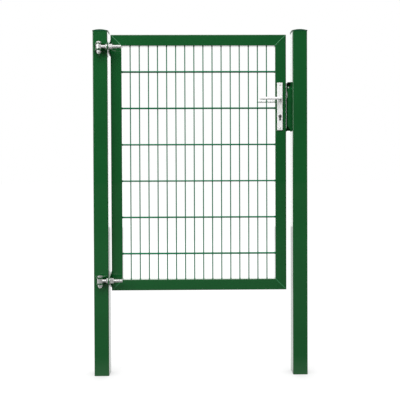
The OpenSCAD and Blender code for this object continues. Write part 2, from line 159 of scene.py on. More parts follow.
# Finishes, each with the panel's colour that it takes
COATS = {
    "green_powder_coat": {
        "colour": "paint", "peel_scale": 300.0, "roughness": (0.14, 0.24),
        "dust": 0.06, "drift": 0.05, "gloss": 1.0},
    # Paler green on the corner welds: a painted highlight where the beads catch the light
    "green_seam_highlight_coat": {
        "colour": "seam", "peel_scale": 300.0, "roughness": (0.14, 0.24),
        "dust": 0.06, "drift": 0.05, "gloss": 1.0},
    "green_wire_coat": {
        "colour": "wire_paint", "peel_scale": 420.0, "roughness": (0.40, 0.55),
        "dust": 0.04, "drift": 0.06, "gloss": 0.1},
    "green_cap_plastic": {
        "colour": "cap", "peel_scale": 700.0, "roughness": (0.34, 0.44),
        "dust": 0.04, "drift": 0.04, "gloss": 0.1},
}
METALS = {
    "bright_zinc": {
        "colour": "zinc", "pattern": "Zinc spangle", "roughness": (0.32, 0.42),
        "shade": 0.94, "depth": 0.00002, "metallic": 0.75},
    "satin_aluminium": {
        "colour": "silver", "pattern": "Brushed lines", "roughness": (0.28, 0.38),
        "shade": 0.96, "depth": 0.00003, "metallic": 0.18},
    "plain_steel": {
        "colour": "steel", "pattern": "Brushed lines", "roughness": (0.42, 0.56),
        "shade": 0.90, "depth": 0.00003, "metallic": 1.0},
    # The cylinder's nickel is far darker than plated nickel: painted shade on the cylinder
    "nickel_with_painted_shade": {
        "colour": "nickel", "pattern": "Brushed lines", "roughness": (0.22, 0.34),
        "shade": 0.90, "depth": 0.00002, "metallic": 1.0},
}


class GateFinishSettings(bpy.types.PropertyGroup):
    """Colours of the gate's finishes."""

    paint: bpy.props.FloatVectorProperty(
        name="Paint", description="Green powder coat on posts and frame", subtype="COLOR",
        size=3, min=0, max=1, default=(0.0041, 0.0800, 0.0167))
    # Paler than the paint: a painted highlight along the corner welds, not a second coat
    seam: bpy.props.FloatVectorProperty(
        name="Seam paint", description="Paler coat drawn thin over the corner welds", subtype="COLOR",
        size=3, min=0, max=1, default=(0.0250, 0.1700, 0.0600))
    wire_paint: bpy.props.FloatVectorProperty(
        name="Wire paint", description="Green coat on the mesh wires", subtype="COLOR",
        size=3, min=0, max=1, default=(0.0018, 0.1500, 0.0620))
    cap: bpy.props.FloatVectorProperty(
        name="Cap plastic", description="Green moulded post caps", subtype="COLOR",
        size=3, min=0, max=1, default=(0.0047, 0.0700, 0.0248))
    zinc: bpy.props.FloatVectorProperty(
        name="Zinc", description="Bright galvanised hinge hardware", subtype="COLOR",
        size=3, min=0, max=1, default=(0.61, 0.61, 0.60))
    silver: bpy.props.FloatVectorProperty(
        name="Aluminium", description="Satin lock plates and levers", subtype="COLOR",
        size=3, min=0, max=1, default=(0.96, 0.96, 0.95))
    steel: bpy.props.FloatVectorProperty(
        name="Steel", description="Plain steel lock pieces", subtype="COLOR",
        size=3, min=0, max=1, default=(0.80, 0.81, 0.80))
    # Far darker than plated nickel: painted shade, so the cylinder shows as dark as a shaded hole
    nickel: bpy.props.FloatVectorProperty(
        name="Nickel", description="Plated lock cylinder", subtype="COLOR",
        size=3, min=0, max=1, default=(0.20, 0.195, 0.20))


class GateDetailSettings(bpy.types.PropertyGroup):
    """Sizes of the small details."""

    bead_width: bpy.props.FloatProperty(
        name="Seam width", description="Width of the weld across a frame corner",
        unit="LENGTH", min=0.002, max=0.01, default=0.006)
    bead_rise: bpy.props.FloatProperty(
        name="Seam rise", description="Height of that weld above the tube",
        unit="LENGTH", min=0.0004, max=0.004, default=0.0022)
    fillet: bpy.props.FloatProperty(
        name="Fillet radius", description="Radius of the welds along brackets and plates",
        unit="LENGTH", min=0.001, max=0.006, default=0.003)
    ripple: bpy.props.FloatProperty(
        name="Ripple spacing", description="Distance between the ripples of a weld",
        unit="LENGTH", min=0.001, max=0.008, default=0.0032)
    thread_pitch: bpy.props.FloatProperty(
        name="Thread pitch", description="Pitch of the bolt threads",
        unit="LENGTH", min=0.001, max=0.004, default=0.002)
    thread_depth: bpy.props.FloatProperty(
        name="Thread depth", description="Height of a thread above the shank",
        unit="LENGTH", min=0.0002, max=0.002, default=0.0006)
    screw_head: bpy.props.FloatProperty(
        name="Screw head", description="Diameter of the lock plate screws",
        unit="LENGTH", min=0.004, max=0.012, default=0.008)
    shank: bpy.props.FloatProperty(
        name="Shank", description="Diameter of the eye bolts' shanks",
        unit="LENGTH", min=0.01, max=0.02, default=0.016)
    grub: bpy.props.FloatProperty(
        name="Grub screw", description="Diameter of the screws that hold the levers",
        unit="LENGTH", min=0.002, max=0.006, default=0.004)
    plug: bpy.props.FloatProperty(
        name="Plug", description="Diameter of the turning plug in the lock cylinder",
        unit="LENGTH", min=0.008, max=0.016, default=0.013)
    key_width: bpy.props.FloatProperty(
        name="Key width", description="Width of the keyway",
        unit="LENGTH", min=0.001, max=0.004, default=0.0024)
    key_height: bpy.props.FloatProperty(
        name="Key height", description="Height of the keyway",
        unit="LENGTH", min=0.004, max=0.012, default=0.0085)
    key_drop: bpy.props.FloatProperty(
        name="Key drop", description="Distance of the keyway's middle below the plug's axis",
        unit="LENGTH", min=0, max=0.004, default=0.00175)
    upright_wire: bpy.props.FloatProperty(
        name="Upright wire", description="Thickness of the upright wires",
        unit="LENGTH", min=0.004, max=0.008, default=0.006)
    cross_wire: bpy.props.FloatProperty(
        name="Cross wire", description="Thickness of the cross wires",
        unit="LENGTH", min=0.004, max=0.01, default=0.008)
    mesh_pitch_x: bpy.props.FloatProperty(
        name="Upright spacing", description="Spacing of the upright wires",
        unit="LENGTH", min=0.03, max=0.1, default=0.05)
    mesh_pitch_z: bpy.props.FloatProperty(
        name="Cross spacing", description="Spacing of the cross wires",
        unit="LENGTH", min=0.1, max=0.3, default=0.2)


class GateStageSettings(bpy.types.PropertyGroup):
    """Camera, lamps and surroundings."""

    eye: bpy.props.FloatVectorProperty(
        name="Eye point", description="Place of the camera", subtype="TRANSLATION",
        unit="LENGTH", size=3, default=(0.500, -3.036, 1.095))
    focal_px: bpy.props.FloatProperty(
        name="Focal length", description="Focal length in pixels of the square image",
        subtype="PIXEL", min=100, max=2000, default=553.9)
    tilt: bpy.props.FloatProperty(
        name="Tilt", description="Turn of the camera downwards", subtype="ANGLE", default=0.0115)
    swing: bpy.props.FloatProperty(
        name="Swing", description="Turn of the camera to the right", subtype="ANGLE", default=0.0122)
    roll: bpy.props.FloatProperty(
        name="Roll", description="Turn of the camera about its axis", subtype="ANGLE", default=-0.0040)
    drop: bpy.props.FloatProperty(
        name="Frame drop", description="Shift of the picture below the camera's axis",
        subtype="FACTOR", min=-0.05, max=0.05, default=-0.05)
    ambient: bpy.props.FloatProperty(
        name="Ambient", description="Strength of the even light from all round",
        min=0, max=2, default=0.88)
    key_power: bpy.props.FloatProperty(
        name="Key lamp", description="Power of the large lamp above the front",
        unit="POWER", min=0, max=1000, default=200)
    fill_power: bpy.props.FloatProperty(
        name="Fill lamp", description="Power of the lamp at the left",
        unit="POWER", min=0, max=1000, default=45)
    rear_power: bpy.props.FloatProperty(
        name="Rear lamp", description="Power of the lamp above and behind the gate",
        unit="POWER", min=0, max=1000, default=30)
    back_power: bpy.props.FloatProperty(
        name="Back lamp", description="Power of the wide soft lamp behind the gate",
        unit="POWER", min=0, max=1000, default=85)


def clear_selection():
    """Leave edit mode and deselect everything."""
    if bpy.context.mode != "OBJECT":
        bpy.ops.object.mode_set(mode="OBJECT")
    bpy.ops.object.select_all(action="DESELECT")


def select_only(objects):
    """Select these objects, the first of them active."""
    clear_selection()
    for obj in objects:
        obj.select_set(True)
    bpy.context.view_layer.objects.active = objects[0]


def in_edit(obj):
    """Open a mesh for editing with nothing selected and return its editing mesh."""
    select_only([obj])
    bpy.ops.object.mode_set(mode="EDIT")
    bpy.ops.mesh.select_all(action="DESELECT")
    return bmesh.from_edit_mesh(obj.data)


def pick_faces(obj, wanted):
    """Select the faces of an open mesh that pass a test."""
    bpy.ops.mesh.select_mode(type="FACE")
    shape = bmesh.from_edit_mesh(obj.data)
    for face in shape.faces:
        face.select_set(wanted(face))
    bmesh.update_edit_mesh(obj.data)


def apply_modifiers(obj):
    """Apply every modifier of an object in order."""
    select_only([obj])
    for modifier in list(obj.modifiers):
        bpy.ops.object.modifier_apply(modifier=modifier.name)


def settle(obj, place, axis, along):
    """Turn a mesh so that one of its axes points along a direction, and write its place into the mesh."""
    select_only([obj])
    obj.rotation_mode = "QUATERNION"
    obj.rotation_quaternion = axis.rotation_difference(along)
    obj.location = place
    bpy.ops.object.transform_apply(location=True, rotation=True, scale=True)


def joined(pieces, name):
    """Join several meshes into one piece."""
    select_only(pieces)
    if len(pieces) > 1:
        bpy.ops.object.join()
    piece = bpy.context.view_layer.objects.active
    piece.name = name
    piece.data.name = name
    return piece


def finish_piece(piece, body, coat, smooth_angle=EDGE_ANGLE):
    """Shade a piece, give it its material and let it ride on its body."""
    select_only([piece])
    bpy.ops.object.mode_set(mode="EDIT")
    bpy.ops.mesh.select_all(action="SELECT")
    bpy.ops.mesh.normals_make_consistent(inside=False)
    bpy.ops.object.mode_set(mode="OBJECT")
    bpy.ops.object.shade_smooth_by_angle(angle=smooth_angle)
    piece.data.materials.clear()
    piece.data.materials.append(coat)
    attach(piece, body)
    clear_selection()
    return piece


def node_of(tree, kind, x, y, **values):
    """Add a shader node at a place in the editor and set its properties."""
    made = tree.nodes.new(kind)
    made.location = (x, y)
    for name, value in values.items():
        setattr(made, name, value)
    return made


def set_inputs(node, **values):
    """Set a node's inputs by name, with underscores for spaces."""
    for name, value in values.items():
        node.inputs[name.replace("_", " ")].default_value = value


def group_tree(name, inputs, outputs):
    """Start a shader node group with named sockets and return its tree, input and output nodes."""
    tree = bpy.data.node_groups.new(name, "ShaderNodeTree")
    for label, kind, value in inputs:
        socket = tree.interface.new_socket(label, in_out="INPUT", socket_type=kind)
        socket.default_value = value
    for label, kind in outputs:
        tree.interface.new_socket(label, in_out="OUTPUT", socket_type=kind)
    start = node_of(tree, "NodeGroupInput", -800, 0)
    end = node_of(tree, "NodeGroupOutput", 800, 0)
    return tree, start, end


def noise_of(tree, x, y, detail=3.0, rough=0.5):
    """Noise on object coordinates."""
    place = node_of(tree, "ShaderNodeTexCoord", x - 400, y)
    noise = node_of(tree, "ShaderNodeTexNoise", x, y)
    set_inputs(noise, Detail=detail, Roughness=rough)
    tree.links.new(place.outputs["Object"], noise.inputs["Vector"])
    return noise


def math_of(tree, operation, first, second, x, y):
    """Math on two sockets or plain numbers."""
    made = node_of(tree, "ShaderNodeMath", x, y, operation=operation)
    for entry, source in zip(made.inputs, (first, second)):
        if isinstance(source, bpy.types.NodeSocket):
            tree.links.new(source, entry)
        else:
            entry.default_value = source
    return made.outputs["Value"]


def range_of(tree, source, given, wanted, x, y):
    """Stretch a given span of a value to a wanted range."""
    made = node_of(tree, "ShaderNodeMapRange", x, y)
    set_inputs(made, From_Min=given[0], From_Max=given[1], To_Min=wanted[0], To_Max=wanted[1])
    tree.links.new(source, made.inputs["Value"])
    return made.outputs["Result"]


def scaled(tree, colour, factor, x, y):
    """A colour times a factor."""
    made = node_of(tree, "ShaderNodeVectorMath", x, y, operation="SCALE")
    tree.links.new(colour, made.inputs[0])
    tree.links.new(factor, made.inputs["Scale"])
    return made.outputs["Vector"]


def orange_peel_group():
    """Soft dimples of a baked powder coat, with fine specks between them."""
    tree, start, end = group_tree(
        "Orange peel",
        [("Scale", "NodeSocketFloat", 260.0), ("Speck scale", "NodeSocketFloat", 1400.0),
         ("Speck share", "NodeSocketFloat", 0.25)],
        [("Height", "NodeSocketFloat")])
    peel = noise_of(tree, -300, 150, detail=2.0)
    speck = noise_of(tree, -300, -150, detail=1.0)
    tree.links.new(start.outputs["Scale"], peel.inputs["Scale"])
    tree.links.new(start.outputs["Speck scale"], speck.inputs["Scale"])
    weighed = math_of(tree, "MULTIPLY", speck.outputs["Fac"], start.outputs["Speck share"], 0, -150)
    total = math_of(tree, "ADD", peel.outputs["Fac"], weighed, 300, 0)
    tree.links.new(total, end.inputs["Height"])
    return tree


def tone_group():
    """Slow drift of tone over a surface, with a little pale dust where it faces up."""
    tree, start, end = group_tree(
        "Tone and dust",
        [("Colour", "NodeSocketColor", (0.5, 0.5, 0.5, 1)), ("Drift scale", "NodeSocketFloat", 5.0),
         ("Drift", "NodeSocketFloat", 0.12), ("Dust", "NodeSocketFloat", 0.1),
         ("Dust colour", "NodeSocketColor", (0.45, 0.47, 0.42, 1))],
        [("Colour", "NodeSocketColor")])
    drift = noise_of(tree, -300, 200, detail=4.0)
    tree.links.new(start.outputs["Drift scale"], drift.inputs["Scale"])
    spread = range_of(tree, drift.outputs["Fac"], DRIFT_SPAN, (-1.0, 1.0), -80, 200)
    share = math_of(tree, "MULTIPLY", spread, start.outputs["Drift"], 120, 200)
    lift = math_of(tree, "ADD", share, 1.0, 300, 200)
    toned = scaled(tree, start.outputs["Colour"], lift, 450, 120)
    facing = node_of(tree, "ShaderNodeNewGeometry", -500, -200)
    split = node_of(tree, "ShaderNodeSeparateXYZ", -300, -200)
    tree.links.new(facing.outputs["Normal"], split.inputs["Vector"])
    upward = range_of(tree, split.outputs["Z"], UPWARD_SPAN, (0.0, 1.0), -80, -200)
    patch = noise_of(tree, -300, -450, detail=5.0, rough=0.65)
    set_inputs(patch, Scale=45.0)
    broken = math_of(tree, "MULTIPLY", upward, patch.outputs["Fac"], 120, -250)
    mask = math_of(tree, "MULTIPLY", broken, start.outputs["Dust"], 300, -250)
    mixed = node_of(tree, "ShaderNodeMix", 600, 0, data_type="RGBA")
    tree.links.new(mask, mixed.inputs["Factor"])
    tree.links.new(toned, mixed.inputs["A"])
    tree.links.new(start.outputs["Dust colour"], mixed.inputs["B"])
    tree.links.new(mixed.outputs["Result"], end.inputs["Colour"])
    return tree


def brushed_group():
    """Fine lines of brushed or drawn metal along Z."""
    tree, start, end = group_tree(
        "Brushed lines",
        [("Across scale", "NodeSocketFloat", 900.0), ("Along scale", "NodeSocketFloat", 14.0)],
        [("Lines", "NodeSocketFloat")])
    place = node_of(tree, "ShaderNodeTexCoord", -600, 200)
    stretch = node_of(tree, "ShaderNodeVectorMath", -200, 100, operation="MULTIPLY")
    pack = node_of(tree, "ShaderNodeCombineXYZ", -400, -50)
    for axis in ("X", "Y"):
        tree.links.new(start.outputs["Across scale"], pack.inputs[axis])
    tree.links.new(start.outputs["Along scale"], pack.inputs["Z"])
    tree.links.new(place.outputs["Object"], stretch.inputs[0])
    tree.links.new(pack.outputs["Vector"], stretch.inputs[1])
    lines = node_of(tree, "ShaderNodeTexNoise", 100, 100)
    set_inputs(lines, Scale=1.0, Detail=3.0, Roughness=0.6)
    tree.links.new(stretch.outputs["Vector"], lines.inputs["Vector"])
    tree.links.new(lines.outputs["Fac"], end.inputs["Lines"])
    return tree


def spangle_group():
    """Crystal patches of a zinc coat."""
    tree, start, end = group_tree(
        "Zinc spangle", [("Scale", "NodeSocketFloat", 320.0)], [("Patches", "NodeSocketFloat")])
    place = node_of(tree, "ShaderNodeTexCoord", -500, 0)
    cells = node_of(tree, "ShaderNodeTexVoronoi", -200, 0)
    tree.links.new(place.outputs["Object"], cells.inputs["Vector"])
    tree.links.new(start.outputs["Scale"], cells.inputs["Scale"])
    split = node_of(tree, "ShaderNodeSeparateColor", 100, 0)
    tree.links.new(cells.outputs["Color"], split.inputs["Color"])
    tree.links.new(split.outputs["Red"], end.inputs["Patches"])
    return tree


GROUPS = {
    "Orange peel": orange_peel_group,
    "Tone and dust": tone_group,
    "Brushed lines": brushed_group,
    "Zinc spangle": spangle_group,
}


def start_material(name):
    """A fresh node material with its shader and its tree."""
    made = bpy.data.materials.new(name)
    made.use_nodes = True
    tree = made.node_tree
    shader = tree.nodes["Principled BSDF"]
    shader.location = (600, 0)
    tree.nodes["Material Output"].location = (900, 0)
    return made, tree, shader


def use_group(tree, name, x, y, **values):
    """Place a node group, made on first use, in a material with its own values."""
    group = bpy.data.node_groups.get(name) or GROUPS[name]()
    made = node_of(tree, "ShaderNodeGroup", x, y, node_tree=group)
    set_inputs(made, **values)
    return made


def bump_of(tree, shader, height, strength, depth, x, y):
    """Feed a height to the shader's normal."""
    made = node_of(tree, "ShaderNodeBump", x, y)
    set_inputs(made, Strength=strength, Distance=depth)
    tree.links.new(height, made.inputs["Height"])
    tree.links.new(made.outputs["Normal"], shader.inputs["Normal"])


def panel_colour(name):
    """One of the panel's colours, opaque."""
    return (*getattr(bpy.context.scene.gate_finish, name), 1)


def coated_material(name, colour, peel_scale, roughness, dust, drift, gloss):
    """Baked powder coat or moulded plastic: toned colour, dimpled skin and an even gloss."""
    made, tree, shader = start_material(name)
    tone = use_group(tree, "Tone and dust", 0, 250, Colour=panel_colour(colour), Drift=drift, Dust=dust)
    tree.links.new(tone.outputs["Colour"], shader.inputs["Base Color"])
    height = use_group(tree, "Orange peel", 0, -250, Scale=peel_scale).outputs["Height"]
    rough = range_of(tree, height, NOISE_SPAN, roughness, 250, -50)
    tree.links.new(rough, shader.inputs["Roughness"])
    bump_of(tree, shader, height, PEEL_STRENGTH, PEEL_DEPTH, 350, -300)
    set_inputs(shader, Specular_IOR_Level=0.06, Coat_Weight=gloss, Coat_Roughness=0.04, Coat_IOR=1.40)
    return made


def metal_material(name, colour, pattern, roughness, shade, depth, metallic):
    """Bare or plated metal with a pattern that changes its gloss and tone a little."""
    made, tree, shader = start_material(name)
    mask = use_group(tree, pattern, -300, 0).outputs[0]
    tone = use_group(tree, "Tone and dust", 0, 300,
                     Colour=panel_colour(colour), Drift_scale=40.0, Drift=0.04, Dust=0.0)
    level = range_of(tree, mask, NOISE_SPAN, (shade, 1.0), 100, 80)
    shaded = scaled(tree, tone.outputs["Colour"], level, 300, 250)
    tree.links.new(shaded, shader.inputs["Base Color"])
    rough = range_of(tree, mask, NOISE_SPAN, roughness, 100, -150)
    tree.links.new(rough, shader.inputs["Roughness"])
    bump_of(tree, shader, mask, PATTERN_STRENGTH, depth, 350, -300)
    set_inputs(shader, Metallic=metallic)
    return made


def material(name):
    """The named finish, made on first use."""
    found = bpy.data.materials.get(name)
    if found:
        return found
    if name in COATS:
        return coated_material(name, **COATS[name])
    return metal_material(name, **METALS[name])


def repeat_piece(piece, repeats):
    """Repeat a mesh along several directions, each with a count and a step."""
    for count, step in repeats:
        row = piece.modifiers.new("Row", "ARRAY")
        row.count = count
        row.use_relative_offset = False
        row.use_constant_offset = True
        row.constant_offset_displace = step
    apply_modifiers(piece)


def weld_bead(start, end, radius):
    """Row of overlapping ripples between two points, fused into one bead."""
    spacing = bpy.context.scene.gate_detail.ripple
    run = end - start
    count = max(2, round(run.length / spacing))
    step = run.length / count
    clear_selection()
    bpy.ops.mesh.primitive_uv_sphere_add(segments=RIPPLE_SEGMENTS, ring_count=RIPPLE_RINGS, radius=radius)
    ripple = bpy.context.active_object
    repeat_piece(ripple, ((count, (step, 0, 0)),))
    fuse = ripple.modifiers.new("Fuse", "REMESH")
    fuse.mode = "VOXEL"
    fuse.voxel_size = radius * VOXEL_SHARE
    fuse.use_smooth_shade = True
    apply_modifiers(ripple)
    settle(ripple, start + run.normalized() * step / 2, RIGHT, run)
    return ripple


def beads_along(runs, radius):
    """Weld beads along straight runs, each given by its two ends."""
    return [weld_bead(Vector(start), Vector(end), radius) for start, end in runs]


def seam_bead(start, end, outward):
    """Flat bead whose middle line lies under the surface."""
    detail = bpy.context.scene.gate_detail
    half = detail.bead_width / 2
    rise = detail.bead_rise
    radius = (half * half + rise * rise) / (2 * rise)
    sink = outward * (rise - radius)
    return weld_bead(start + sink, end + sink, radius)


def helix_thread(start, axis, length, shank_radius):
    """Helical ridge along a shank, closed at both ends."""
    detail = bpy.context.scene.gate_detail
    pitch = detail.thread_pitch
    depth = detail.thread_depth
    clear_selection()
    bpy.ops.mesh.primitive_circle_add(
        vertices=RIDGE_SIDES, radius=depth, fill_type="NOTHING",
        location=(shank_radius, 0, 0), rotation=(math.pi / 2, math.pi / 2, 0))
    ridge = bpy.context.active_object
    bpy.ops.object.transform_apply(location=True, rotation=True, scale=True)
    sweep = ridge.modifiers.new("Sweep", "SCREW")
    sweep.axis = "Z"
    sweep.screw_offset = pitch
    sweep.iterations = max(1, int(length / pitch) - 1)
    sweep.steps = TURN_STEPS
    sweep.render_steps = TURN_STEPS
    apply_modifiers(ridge)
    in_edit(ridge)
    bpy.ops.mesh.select_all(action="SELECT")
    bpy.ops.mesh.fill_holes(sides=RIDGE_SIDES)
    bpy.ops.object.mode_set(mode="OBJECT")
    settle(ridge, start + axis * pitch / 2, UP, axis)
    return ridge


def cut_with(obj, cutter):
    """Take one mesh out of another and delete the cutter."""
    cut = obj.modifiers.new("Cut", "BOOLEAN")
    cut.operation = "DIFFERENCE"
    cut.solver = "EXACT"
    cut.object = cutter
    apply_modifiers(obj)
    bpy.data.objects.remove(cutter)


def bar_cutter(length, width, depth):
    """Plain bar centred on the origin, for cutting slots."""
    clear_selection()
    bpy.ops.mesh.primitive_cube_add(size=1.0)
    bar = bpy.context.active_object
    bar.scale = (length, width, depth)
    bpy.ops.object.transform_apply(location=False, rotation=False, scale=True)
    return bar


def domed_disc(radius, rise, crown, sides=DISC_SIDES):
    """Disc on the XY plane with a crowned top and an eased rim."""
    clear_selection()
    bpy.ops.mesh.primitive_cylinder_add(vertices=sides, radius=radius, depth=rise,
                                        location=(0, 0, rise / 2))
    disc = bpy.context.active_object
    bpy.ops.object.transform_apply(location=True, rotation=False, scale=False)
    in_edit(disc)
    pick_faces(disc, lambda face: face.normal.z > END_FACE)
    for radius_share, crown_share in DISC_INSETS:
        bpy.ops.mesh.inset(thickness=radius * radius_share, depth=crown * crown_share)
    bpy.ops.object.mode_set(mode="OBJECT")
    return disc


def socket_screw(place, outward, head):
    """Grub screw end with a hexagon socket."""
    screw = domed_disc(head / 2, head * GRUB_RISE, head * GRUB_CROWN, GRUB_SIDES)
    clear_selection()
    bpy.ops.mesh.primitive_cylinder_add(vertices=6, radius=head * SOCKET_RADIUS, depth=head * SOCKET_DEPTH,
                                        location=(0, 0, head * SOCKET_HEIGHT))
    cut_with(screw, bpy.context.active_object)
    settle(screw, place, UP, outward)
    return screw


def cylinder_plug(place, outward, key_side):
    """Turning plug of a lock cylinder with its keyway and an eased rim."""
    detail = bpy.context.scene.gate_detail
    rise = detail.plug * PLUG_RISE
    plug = domed_disc(detail.plug / 2, rise, rise)
    slot = bar_cutter(detail.key_width, detail.key_height, detail.plug)
    slot.location = (0, key_side * detail.key_drop, 0)
    select_only([slot])
    bpy.ops.object.transform_apply(location=True, rotation=False, scale=False)
    cut_with(plug, slot)
    settle(plug, place, UP, outward)
    return plug


def cross_screw(place, outward, head):
    """Oval screw head with a cross recess."""
    screw = domed_disc(head / 2, head * SCREW_RISE, head * SCREW_RISE)
    for turn in (0, math.pi / 2):
        arm = bar_cutter(*(head * share for share in RECESS_SIZE))
        arm.rotation_euler = (0, 0, turn)
        arm.location = (0, 0, head * RECESS_HEIGHT)
        select_only([arm])
        bpy.ops.object.transform_apply(location=True, rotation=True, scale=False)
        cut_with(screw, arm)
    settle(screw, place, UP, outward)
    return screw


class GATE_OT_finishes(bpy.types.Operator):
    """Coat the tubes, wires, caps and metal pieces"""

    bl_idname = "gate.finishes"
    bl_label = "Finishes"

    def execute(self, context):
        groups = ((PAINTED, "green_powder_coat"), (WIRED, "green_wire_coat"),
                  (CAPPED, "green_cap_plastic"), (GALVANISED, "bright_zinc"),
                  (SATIN, "satin_aluminium"), (PLAIN_STEEL, "plain_steel"),
                  (NICKELLED, "nickel_with_painted_shade"))
        for names, finish in groups:
            for name in names:
                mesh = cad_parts[name].data
                if not mesh.materials:
                    mesh.materials.append(None)
                for index in range(len(mesh.materials)):
                    mesh.materials[index] = material(finish)
        return {"FINISHED"}


class GATE_OT_corner_welds(bpy.types.Operator):
    """Weld the four mitred corners of the leaf on both faces and round the edges"""

    bl_idname = "gate.corner_welds"
    bl_label = "Corner welds"

    def execute(self, context):
        inset = context.scene.gate_detail.bead_width
        corners = (("top_hinge_corner_weld", LEAF_LEFT, 1, LEAF_TOP, -1),
                   ("top_lock_corner_weld", LEAF_RIGHT, -1, LEAF_TOP, -1),
                   ("bottom_hinge_corner_weld", LEAF_LEFT, 1, LEAF_BOTTOM, 1),
                   ("bottom_lock_corner_weld", LEAF_RIGHT, -1, LEAF_BOTTOM, 1))
        for name, x, side, z, rise in corners:
            outer = Vector((x + side * inset, 0, z + rise * inset))
            inner = Vector((x + side * FRAME_FACE, 0, z + rise * FRAME_FACE))
            beads = []
            for y, outward in ((LEAF_FRONT, FRONT), (LEAF_BACK, -FRONT)):
                depth = Vector((0, y, 0))
                beads.append(seam_bead(outer + depth, inner + depth, outward))
            radius = context.scene.gate_detail.fillet
            near = Vector((0, LEAF_FRONT + radius, 0))
            far = Vector((0, LEAF_BACK - radius, 0))
            beads.append(weld_bead(inner + near, inner + far, radius))
            # The beads take the paler seam colour as a painted highlight
            finish_piece(joined(beads, name), "leaf", material("green_seam_highlight_coat"))
        return {"FINISHED"}


class GATE_OT_hinge_welds(bpy.types.Operator):
    """Weld the brackets to the post, the plates to the stile and the keeper to its post"""

    bl_idname = "gate.hinge_welds"
    bl_label = "Hinge and keeper welds"

    def execute(self, context):
        radius = context.scene.gate_detail.fillet
        paint = material("green_powder_coat")
        post_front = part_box("hinge_post")[0].y
        for level in ("upper", "lower"):
            low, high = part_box(level + "_hinge_bracket")
            runs = [((x, post_front, low.z), (x, post_front, high.z)) for x in (low.x, high.x)]
            runs += [((low.x, post_front, z), (high.x, post_front, z)) for z in (low.z, high.z)]
            beads = beads_along(runs, radius)
            finish_piece(joined(beads, level + "_bracket_weld"), "posts", paint)
            low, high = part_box(level + "_hinge_plate")
            front = LEAF_FRONT + radius
            back = high.y
            runs = [((LEAF_LEFT, back, low.z), (LEAF_LEFT, back, high.z))]
            runs += [((LEAF_LEFT, front, z), (LEAF_LEFT, back, z)) for z in (low.z, high.z)]
            beads = beads_along(runs, radius)
            finish_piece(joined(beads, level + "_plate_weld"), "leaf", paint)
        low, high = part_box("keeper")
        post_low, post_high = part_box("latch_post")
        back = post_high.y - radius * 2
        runs = [((post_low.x, low.y + radius, z), (post_low.x, back, z)) for z in (low.z, high.z)]
        finish_piece(joined(beads_along(runs, radius), "keeper_weld"), "posts", paint)
        return {"FINISHED"}


def mesh_layout():
    """The mesh's box, its numbers of upright and cross wires, and where the first two wires cross."""
    detail = bpy.context.scene.gate_detail
    low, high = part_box("mesh_panel")
    middle = (low + high) / 2
    uprights = max(1, round((high.x - low.x) / detail.mesh_pitch_x) - 1)
    crossings = max(1, round((high.z - low.z) / detail.mesh_pitch_z))
    first = Vector((middle.x - (uprights - 1) / 2 * detail.mesh_pitch_x, middle.y,
                    middle.z - (crossings - 1) / 2 * detail.mesh_pitch_z))
    return low, high, uprights, crossings, first


class GATE_OT_mesh_wires(bpy.types.Operator):
    """Draw the mesh's round wires in place of its plain bars"""

    bl_idname = "gate.mesh_wires"
    bl_label = "Mesh wires"

    sides: bpy.props.IntProperty(
        name="Sides", description="Number of sides of a round wire", min=8, max=32, default=16)
    crown: bpy.props.FloatProperty(
        name="Crown", description="Rise of a wire's cut end", unit="LENGTH", default=0.0004)

    def execute(self, context):
        detail = context.scene.gate_detail
        low, high, uprights, crossings, first = mesh_layout()
        middle = (low + high) / 2
        front = low.y + detail.cross_wire / 2
        upright = self.wire(high.z - low.z, detail.upright_wire, UP, Vector((first.x, middle.y, middle.z)))
        repeat_piece(upright, ((uprights, (detail.mesh_pitch_x, 0, 0)),))
        cross = self.wire(high.x - low.x, detail.cross_wire, RIGHT, Vector((middle.x, front, first.z)))
        repeat_piece(cross, ((crossings, (0, 0, detail.mesh_pitch_z)),
                             (2, (0, 2 * (middle.y - front), 0))))
        wires = finish_piece(joined([upright, cross], "mesh_wires"), "leaf",
                             material("green_wire_coat"))
        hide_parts("mesh_panel")
        return {"FINISHED"}

    def wire(self, length, thickness, along, place):
        """Round bar with slightly crowned ends, centred on a place."""
        clear_selection()
        bpy.ops.mesh.primitive_cylinder_add(vertices=self.sides, radius=thickness / 2,
                                            depth=length - 2 * self.crown)
        bar = bpy.context.active_object
        in_edit(bar)
        pick_faces(bar, lambda face: abs(face.normal.z) > END_FACE)
        bpy.ops.mesh.inset(thickness=self.crown, depth=self.crown)
        bpy.ops.object.mode_set(mode="OBJECT")
        settle(bar, place, UP, along)
        return bar


